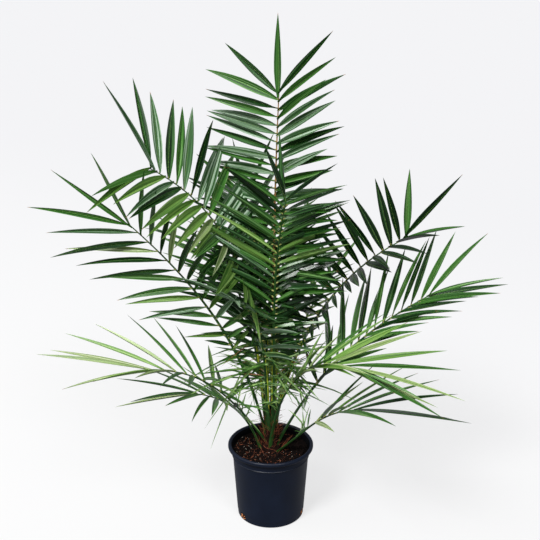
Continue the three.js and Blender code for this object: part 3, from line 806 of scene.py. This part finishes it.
# Basal leaflets: pairs at an even gap up the bare petiole. Spread and width grow evenly with the
# share of that stretch, and length as share ^ grows.
def growBasal(frond, order):
    settings = basalSettings
    bare = frond["bare"]
    start = float(np.interp(frond["girth"], settings["stout"], settings["from"]))
    stout = float(np.interp(frond["girth"], settings["stout"], (0, 1)))
    reach = np.linalg.norm(np.subtract(frond["tip"], frond["root"])) * mm * bare * (1 - start)
    pairs = max(settings["fewest"], int(reach / settings["gap"]))
    pair, hand, seed = pairUp(pairs, settings["seedStart"] + order * seedStride)
    share = (pair + 0.5) / pairs
    placeVaries, spreadVaries, liftVaries, lengthVaries = settings["varies"]
    place = bare * (start + (1 - start) * (share + placeVaries * scatter(seed, 1) / pairs))
    low, high = settings["spread"]
    spread = low + (high - low) * share + spreadVaries * scatter(seed, 2)
    lift = settings["lift"] + settings["stoutLift"] * stout + liftVaries * scatter(seed, 3)
    centre, aim, across = aimLeaflets(frond, place, hand, spread, lift)
    short, long = settings["length"]
    length = (short + (long - short) * share ** settings["grows"]) * (1 + lengthVaries * scatter(seed, 4))
    length = length * (1 - settings["stoutShort"] * stout)
    narrow, wide = settings["halfWidth"]
    return {
        "base": centre, "aim": aim, "across": across, "length": length, "sag": settings["sag"] * length,
        "halfWidth": (narrow + (wide - narrow) * share) * mm, "seed": seed, "share": share,
        "rib": ribSize(ribSettings["width"], frond, place), "frond": np.full(len(seed), order),
    }


basal = together([growBasal(frond, order) for order, frond in enumerate(fronds)])
basal = dressLeaves(basal, basalSettings["bow"], basalSettings["clear"])
dried = scatter(basal["seed"], 12) > basalSettings["driedAbove"]
darker = scatter(basal["seed"], 13) > basalSettings["darkAbove"]
basal["halfWidth"] = basal["halfWidth"] * np.where(dried, basalSettings["driedWidth"], 1)
for name, finish, chosen in (("basalLeaflets", "basalLeaflet", ~dried & ~darker),
                             ("basalDark", "basalLeafletDark", ~dried & darker),
                             ("driedLeaflets", "driedLeaflet", dried)):
    part = bladeParts(pick(basal, chosen), basalSettings["shares"])[0]
    makePiece(name, part, materials[finish], sharp=24)
print("ribs and basal leaflets made:", len(basal["seed"]))


# Stem with the scars of old leaf bases, and the fibres round it

stemSettings = {
    "foot": 234.3,  # above the pot's underside
    # height above the foot, radius
    "profile": ((0, 36), (10, 32), (24, 28), (46, 24.5), (74, 21), (104, 17.5), (132, 13.5), (152, 8)),
    "tip": 157,
    "rows": 90,
    "columns": 96,
    "scarHeight": 17.0,
    "scarsRound": 7,
    "scarPower": 0.8,
    "relief": (3.0, 30, 0.3),  # height of a scar, radius from which it is full, least share of it
    "inset": 1.5,
    "ridges": (0.35, 48, 2, 0.3),  # height, number round, sway and its waves
    "fineRidges": (0.25, 31, 0.21),  # height, number round, slant
}

fibreSettings = {
    "seed": 11,
    "count": 170,
    "height": (8, 110),  # above the stem's foot
    "sunk": 1,
    "lean": (0.05, 0.4),
    "rise": (0.3, 1),
    "skew": 0.5,
    "length": (0.025, 0.07),
    "curl": 0.1,
    "droop": 0.35,
    "radius": (0.35, 0.9),
}
strandWaves = (4, 6.5, 0.6)  # radians along both waves of a strand, size of the second
phaseSpan = 6.28  # radians within which both waves start


# Radius at height z: the profile, plus scars laid like bricks that swell upward in each cell,
# plus fine upright ridges
def stemRadius(turn, height):
    settings = stemSettings
    radius = np.interp(height, *np.array(settings["profile"]).T)
    row = height / settings["scarHeight"]
    cell = turn / (2 * np.pi) * settings["scarsRound"] + 0.5 * np.floor(row)
    a = 2 * np.abs(cell - np.floor(cell) - 0.5)
    b = row - np.floor(row)
    relief, fullFrom, least = settings["relief"]
    scar = relief * (1 - a ** 2) * b ** settings["scarPower"] * np.clip(radius / fullFrom, least, 1)
    size, around, sway, waves = settings["ridges"]
    ridges = size * np.sin(turn * around + sway * np.sin(height * waves))
    size, around, slant = settings["fineRidges"]
    return radius - settings["inset"] + scar + ridges + size * np.sin(turn * around - height * slant)


stemHeight = np.linspace(0, stemSettings["profile"][-1][0], stemSettings["rows"])[:, None]
stemTurn = fullTurn(stemSettings["columns"])
rings = turned(stemRadius(stemTurn[None], stemHeight), stemHeight + stemSettings["foot"], stemTurn) * mm
part = closeShell(rings, stemSettings["foot"] * mm, (stemSettings["foot"] + stemSettings["tip"]) * mm)
stem = makePiece("stemBark", part, materials["stemBark"], sharp=60)
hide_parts("stem")


# Strands that leave start along heading, curl in two slow waves and sink as s^2
def wander(start, heading, length, curl, droop, picks, steps=14):
    s = np.linspace(0, 1, steps)[None, :, None]
    sideA = unit(np.cross(heading, picks.normal(size=heading.shape)))
    sideB = np.cross(heading, sideA)
    phase = picks.uniform(0, phaseSpan, (2, len(start), 1, 1))
    slow, quick, small = strandWaves
    wave = (sideA[:, None] * (np.sin(slow * s + phase[0]) - np.sin(phase[0]))
            + sideB[:, None] * (np.sin(quick * s + phase[1]) - np.sin(phase[1])) * small)
    length = length[:, None, None]
    bend = wave * (length * curl) - upward * (droop * length) * s ** 2
    return start[:, None] + heading[:, None] * length * s + bend


picks = np.random.default_rng(fibreSettings["seed"])
count = fibreSettings["count"]
turn = picks.uniform(0, 2 * np.pi, count)
height = picks.uniform(*fibreSettings["height"], count)
start = turned(stemRadius(turn, height) - fibreSettings["sunk"], height + stemSettings["foot"], turn) * mm
lean = picks.uniform(*fibreSettings["lean"], count)
skew = turn + picks.normal(0, fibreSettings["skew"], count)
heading = unit(turned(lean, picks.uniform(*fibreSettings["rise"], count), skew))
length = picks.uniform(*fibreSettings["length"], count)
paths = wander(start, heading, length, fibreSettings["curl"], fibreSettings["droop"], picks)
radius = picks.uniform(*fibreSettings["radius"], count) * mm
makePiece("stemFibres", strandTubes(paths, radius), materials["stemFibre"], sharp=80)
print("stem and fibres made")


# Pot sizes

potSettings = {
    # radius, height, rounding: outside from the bottom up, over the lip, then down the inside
    "corners": ((102.5, 0, 1.5), (104.9, 2.4, 0.4), (105.02, 3.4, 0.3), (105.6, 17, 0.5), (106.8, 18, 0.5),
                (107.21, 24, 0.8), (120, 210.6, 0.9), (123, 212.3, 0.8), (121.2, 214, 0.6), (121.6, 237, 0.6),
                (132, 237, 1.0), (135, 240, 1.6), (135, 246.5, 2.2), (132, 250, 1.9), (127.5, 250, 1.4),
                (125, 247.5, 1.6), (119, 237, 2.0), (118.6, 214, 1.0), (117.4, 211, 1.0),
                (103.78, 24, 0.8), (102.4, 5, 0.5), (101.4, 4, 0.4)),
    "cornerSteps": 5,
    "bottom": 4,  # top of the floor
    "columns": 240,
    "holes": (213, 340.5, 96),  # bearings
    "holeColumns": 9,
    "outerRows": (2, 5),  # corners at the bottom and top of a hole, outside
    "innerRows": (19, 20),  # top and bottom of a hole, inside
    # a ring of painted shade on the inner wall above the soil: radius, height
    "shadeLining": ((118.8, 224), (118.95, 236.8), (124.0, 245.7), (123.8, 245.8), (118.75, 236.9), (118.6, 224)),
}


# Soil: a low rough mound, with crumbs, bark chips, pale specks and fibres lying on it

soilSettings = {
    "profile": ((101, 4.3), (102, 5.3), (117, 211), (118.2, 214.5), (118.2, 225)),  # radius, height
    "reach": 118.2,
    "edge": 228.0,
    "crown": 234.0,
    "crownRadius": 46.0,
    "rings": 96,
    "columns": 288,
    "rough": 1.5,
    "fade": 6,  # distance from the wall in which the roughness ends
    "bottom": 4.3,
    "innermost": 1.2,
    "seed": 23,
    "bitsTurn": 225,  # degrees: the side on which loose bits may gather
}

# Loose bits in drawing order. places: as for soilPlaces; without it they lie in the drainage holes
litterSettings = {
    "soilCrumbs": {"material": "soilCrumb", "count": 1500, "size": (1.0, 3.2), "power": 1.25,
        "stretch": (1.1, 1, 0.8), "sharp": 180, "places": {}},
    "barkChips": {"material": "barkChip", "count": 70, "size": (1.8, 4.2), "stretch": (1.3, 0.6, 0.35),
        "sharp": 40, "places": {"inner": 40, "outer": 110, "sink": 1, "gather": 100}},
    "reddishBits": {"material": "stemFibre", "count": 170, "size": (0.6, 1.5), "stretch": (1.5, 0.8, 0.6),
        "sharp": 60, "places": {"sink": 1.4, "gather": 110}},
    "holeBits": {"material": "tanBit", "count": 26, "size": (1.8, 3.6), "stretch": (1.3, 0.8, 0.7),
        "sharp": 60},
    "paleSpecks": {"material": "paleSpeck", "count": 70, "size": (0.5, 1.3), "stretch": (1, 1, 0.8),
        "sharp": 180, "places": {"sink": 1.5, "gather": 120}},
}

holeSettings = {"turn": 6, "height": (5, 20), "reach": (103.4, 0.06)}  # reach at the bottom, and more a mm up

rootSettings = {
    "short": {"count": 16, "length": (0.02, 0.05), "rise": 0.06, "curl": 0.12, "radius": (0.4, 0.9),
              "within": 0.113, "above": 0.8, "places": {"inner": 36, "outer": 90, "sink": 1.0}},
    "long": {"curl": 0.09, "radius": 0.9, "above": 1.2, "steps": 24},
    "runners": (  # both ends of the long roots that lie over the soil at the right
        ((70, 26, 262), (-34, -74, 236)), ((62, 20, 258), (4, -56, 236)), ((-24, -36, 262), (22, -54, 240)),
        ((-36, -22, 250), (-8, -62, 236)),
    ),
}


# Rough ground: a sum of sine waves in scattered directions, each as high as its length ^ power,
# scaled to an even height
def roughGround(x, y, waves=36, longest=0.05, shortest=0.004, power=0.7, seed=5):
    draws = np.random.default_rng(seed)
    turn = draws.uniform(0, 2 * np.pi, waves)
    phase = draws.uniform(0, 2 * np.pi, waves)
    size = longest * (shortest / longest) ** np.linspace(0, 1, waves)
    wave = (x[..., None] * np.cos(turn) + y[..., None] * np.sin(turn)) * 2 * np.pi / size + phase
    return (np.sin(wave) * size ** power).sum(axis=-1) / np.sqrt((size ** (2 * power)).sum() / 2)


# Height of the soil: the crown, then a straight fall to the edge, plus rough ground that fades at the wall
def soilHeight(x, y):
    settings = soilSettings
    reach = np.hypot(x, y) / mm
    corners = [settings[key] for key in ("crownRadius", "reach", "crown", "edge")]
    fall = np.interp(reach, corners[:2], corners[2:])
    fade = np.clip((settings["reach"] - reach) / settings["fade"], 0, 1)
    return (fall + settings["rough"] * fade * roughGround(x, y)) * mm


soilTurn = fullTurn(soilSettings["columns"])
wall = np.array(soilSettings["profile"]) * mm
topReach = np.linspace(soilSettings["reach"], soilSettings["innermost"], soilSettings["rings"])[:, None] * mm
top = soilHeight(topReach * np.cos(soilTurn), topReach * np.sin(soilTurn))
rings = np.concatenate([turned(wall[:, :1], wall[:, 1:], soilTurn), turned(topReach, top, soilTurn)])
part = closeShell(rings, soilSettings["bottom"] * mm, soilHeight(np.zeros(1), np.zeros(1))[0])
soil = makePiece("soilBed", part, materials["pottingSoil"], sharp=70)
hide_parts("soil")


# A ball of 20 faces and radius 1
def unitLump():
    shape = bmesh.new()
    bmesh.ops.create_icosphere(shape, subdivisions=1, radius=1)
    points = np.array([vertex.co[:] for vertex in shape.verts])
    faces = np.array([[vertex.index for vertex in face.verts] for face in shape.faces])
    shape.free()
    return points, faces


# Rotation matrices from random unit quaternions
def randomTurns(picks, count):
    w, x, y, z = unit(picks.normal(size=(count, 4))).T
    rows = [1 - 2 * (y * y + z * z), 2 * (x * y - w * z), 2 * (x * z + w * y),
            2 * (x * y + w * z), 1 - 2 * (x * x + z * z), 2 * (y * z - w * x),
            2 * (x * z - w * y), 2 * (y * z + w * x), 1 - 2 * (x * x + y * y)]
    return np.stack(rows, axis=-1).reshape(count, 3, 3)


# Lumps: a dented 20-faced ball for each place, stretched, turned at random and half sunk
def lumps(centres, sizes, stretch, picks, dent=0.3):
    points, faces = unitLump()
    ball = points[None] * (1 + dent * picks.uniform(-1, 1, (len(centres), len(points), 1)))
    ball = ball * sizes[:, None, None] * np.array(stretch)
    ball = np.einsum("nij,nkj->nki", randomTurns(picks, len(centres)), ball) + centres[:, None]
    shift = np.arange(len(centres))[:, None, None] * len(points)
    return ball.reshape(-1, 3), np.zeros((0, 4), int), (faces[None] + shift).reshape(-1, 3)


# Places spread evenly over the soil: the root of an even draw between both radii squared,
# and a bearing within gather degrees of one side
def soilPlaces(count, picks, inner=34.0, outer=113.0, sink=0.2, gather=180.0):
    reach = np.sqrt(picks.uniform(inner ** 2, outer ** 2, count)) * mm
    turn = np.radians(soilSettings["bitsTurn"] + gather * picks.uniform(-1, 1, count))
    x, y = reach * np.cos(turn), reach * np.sin(turn)
    return np.stack([x, y, soilHeight(x, y) + sink * mm], axis=-1)


# Bits of the mix that show in the drainage holes
def holePlaces(count, picks):
    wide = holeSettings["turn"]
    turn = np.radians(picks.choice(potSettings["holes"], count) + picks.uniform(-wide, wide, count))
    height = picks.uniform(*holeSettings["height"], count)
    reach, more = holeSettings["reach"]
    return turned(reach + height * more, height, turn) * mm


picks = np.random.default_rng(soilSettings["seed"])
for name, litter in litterSettings.items():
    size = picks.uniform(*litter["size"], litter["count"]) ** litter.get("power", 1) * mm
    if "places" in litter:
        places = soilPlaces(litter["count"], picks, **litter["places"])
    else:
        places = holePlaces(litter["count"], picks)
    part = lumps(places, size, litter["stretch"], picks)
    makePiece(name, part, materials[litter["material"]], sharp=litter["sharp"])


# Roots lie on the soil, a little above it
def makeRoots(name, paths, radius, above):
    paths[..., 2] = np.maximum(paths[..., 2], soilHeight(paths[..., 0], paths[..., 1]) + above * mm)
    makePiece(name, strandTubes(paths, radius * mm), materials["stemFibre"], sharp=80)


short, long = rootSettings["short"], rootSettings["long"]
count = short["count"]
start = soilPlaces(count, picks, **short["places"])
heading = unit(turned(1.0, short["rise"], picks.uniform(0, 2 * np.pi, count)))
paths = wander(start, heading, picks.uniform(*short["length"], count), short["curl"], 0, picks)
paths[..., :2] *= np.minimum(1, short["within"] / np.hypot(paths[..., 0], paths[..., 1]))[..., None]
makeRoots("soilFibres", paths, picks.uniform(*short["radius"], count), short["above"])

ends = np.array(rootSettings["runners"], float) * mm
span = ends[:, 1] - ends[:, 0]
length = np.linalg.norm(span, axis=-1)
paths = wander(ends[:, 0], span / length[:, None], length, long["curl"], 0, picks, long["steps"])
makeRoots("longRoots", paths, np.full(len(ends), long["radius"]), long["above"])
print("soil made")


# Pot: one turned shell, corners rounded, with three drainage holes cut through the wall

# Corners rounded by a quadratic curve between points set back along both sides. Both ends of the
# outline go on level toward the middle, at a distance of inner from the axis.
def roundCorners(corners, steps, inner=90):
    spots, setback = corners[:, :2], corners[:, 2:]
    before = np.concatenate([[[inner, spots[0, 1]]], spots[:-1]])
    after = np.concatenate([spots[1:], [[inner, spots[-1, 1]]]])
    a = spots + unit(before - spots) * setback
    b = spots + unit(after - spots) * setback
    t = np.linspace(0, 1, steps)[None, :, None]
    curve = (1 - t) ** 2 * a[:, None] + 2 * t * (1 - t) * spots[:, None] + t ** 2 * b[:, None]
    return curve.reshape(-1, 2)


# Point number in the pot's shell: row times columns plus column
def shellPoint(row, column):
    return row * potSettings["columns"] + column


steps, columns = potSettings["cornerSteps"], potSettings["columns"]
profile = roundCorners(np.array(potSettings["corners"], float), steps) * mm
potTurn = fullTurn(columns)
rings = turned(profile[:, :1], profile[:, 1:], potTurn)
points, quads, fans = closeShell(rings, 0, potSettings["bottom"] * mm)
kept = np.ones((len(profile) - 1, columns), bool)
outerLow, outerTop, innerTop, innerLow = (
    corner * steps + steps // 2 for corner in (*potSettings["outerRows"], *potSettings["innerRows"]))
around = np.concatenate([np.arange(outerLow, outerTop + 1), np.arange(innerTop, innerLow + 1)]) * columns
bridges, sides = [], []
for bearing in potSettings["holes"]:
    middle = round(bearing / 360 * columns)
    span = (middle - potSettings["holeColumns"] // 2 + np.arange(potSettings["holeColumns"] + 1)) % columns
    left, right = span[:-1], span[1:]
    kept[outerLow:outerTop, left] = False
    kept[innerTop:innerLow, left] = False
    for corners in (((outerTop, left), (innerTop, left), (innerTop, right), (outerTop, right)),
                    ((outerLow, left), (outerLow, right), (innerLow, right), (innerLow, left))):
        bridges.append(np.stack([shellPoint(*corner) for corner in corners], axis=-1))
    sides += [(around + span[0])[::-1], around + span[-1]]
part = points, np.concatenate([quads[kept.ravel()], *bridges]), fans
pot = makePiece("potShell", part, materials["potPlastic"], sharp=32, extraFaces=sides)
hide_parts("pot")

# Painted shade on the inner face above the soil: a thin near-black ring just inside the wall that stands in
# for the shadow there
shadeLining = np.array(potSettings["shadeLining"]) * mm
points = turned(shadeLining[:, :1], shadeLining[:, 1:], potTurn).reshape(-1, 3)
row, column = np.meshgrid(np.arange(len(shadeLining)), np.arange(columns), indexing="ij")
nextRow, nextColumn = (row + 1) % len(shadeLining), (column + 1) % columns
quads = np.stack([shellPoint(row, column), shellPoint(row, nextColumn),
                  shellPoint(nextRow, nextColumn), shellPoint(nextRow, column)], axis=-1).reshape(-1, 4)
part = points, quads, np.zeros((0, 3), int)
makePiece("potInsideShade", part, materials["potInsideShade"], sharp=32)
print("pot made")


# Floor: white paper that glows so that shadows stay faint, with painted falloff of the light: a little greyer
# toward the far end

# Painted falloff of the light: the near and the far tone mixed by a smooth step along the paper
def makePaper(settings):
    material, shader = startMaterial("studioPaper", {
        "Roughness": settings["roughness"], "Specular IOR Level": settings["specular"],
        "Emission Strength": settings["glow"]})
    coordinate = addNode(material, "TexCoord", {})
    angle = {"Angle": math.radians(90 + settings["turn"])}
    spin = addNode(material, "VectorRotate", angle, "Vector", coordinate.outputs["Object"])
    spin.rotation_type = "Z_AXIS"
    parts = addNode(material, "SeparateXYZ", {}, "Vector", spin.outputs["Vector"])
    near, far = settings["fade"]
    away = addNode(material, "MapRange", {"From Min": near, "From Max": far}, "Value", parts.outputs["X"])
    away.interpolation_type = "SMOOTHSTEP"
    shade = mixColours(material, away.outputs["Result"], settings["near"], settings["far"])
    for socket in ("Base Color", "Emission Color"):
        material.node_tree.links.new(shade, shader.inputs[socket])
    return material


half, level = floorSettings["half"], floorSettings["level"]
floorMesh = bpy.data.meshes.new("studioFloor")
floorCorners = [(x * half, y * half, level) for x, y in ((-1, -1), (1, -1), (1, 1), (-1, 1))]
floorMesh.from_pydata(floorCorners, [], [(0, 1, 2, 3)])
floorMesh.materials.append(makePaper(floorSettings))
floor = bpy.data.objects.new("studioFloor", floorMesh)
scene.collection.objects.link(floor)
floor.visible_diffuse = False  # the endless paper would light every leaf from below
floor.visible_glossy = False
